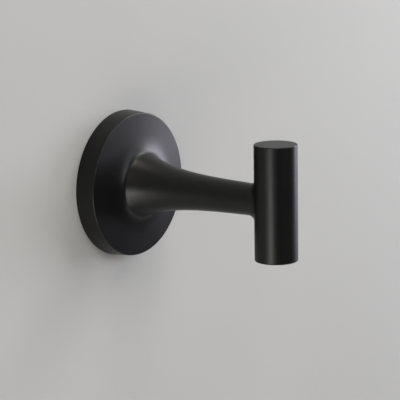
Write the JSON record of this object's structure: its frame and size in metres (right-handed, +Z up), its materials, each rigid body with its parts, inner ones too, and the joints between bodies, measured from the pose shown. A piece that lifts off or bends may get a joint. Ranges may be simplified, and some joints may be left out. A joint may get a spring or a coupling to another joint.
{
  "type": "towel hook",
  "caption": "Wall-mounted towel hook: a round flange flares into a slim post with an upright crossbar, on a hidden wall bracket locked by a set screw.",
  "frame": {"origin": "centre of the flange's round back, on the wall plane", "axes": "+Y points into the wall, the post runs along -Y into the room, +Z is up along the crossbar"},
  "size_m": [0.05, 0.0706, 0.05],
  "materials": {
    "black_coating": "satin",
    "plated_steel": "satin",
    "screw_steel": "satin"
  },
  "bodies": {
    "root": {"hook_body": "black_coating", "wall_bracket": "plated_steel", "set_screw": "screw_steel"}
  },
  "joints": []
}
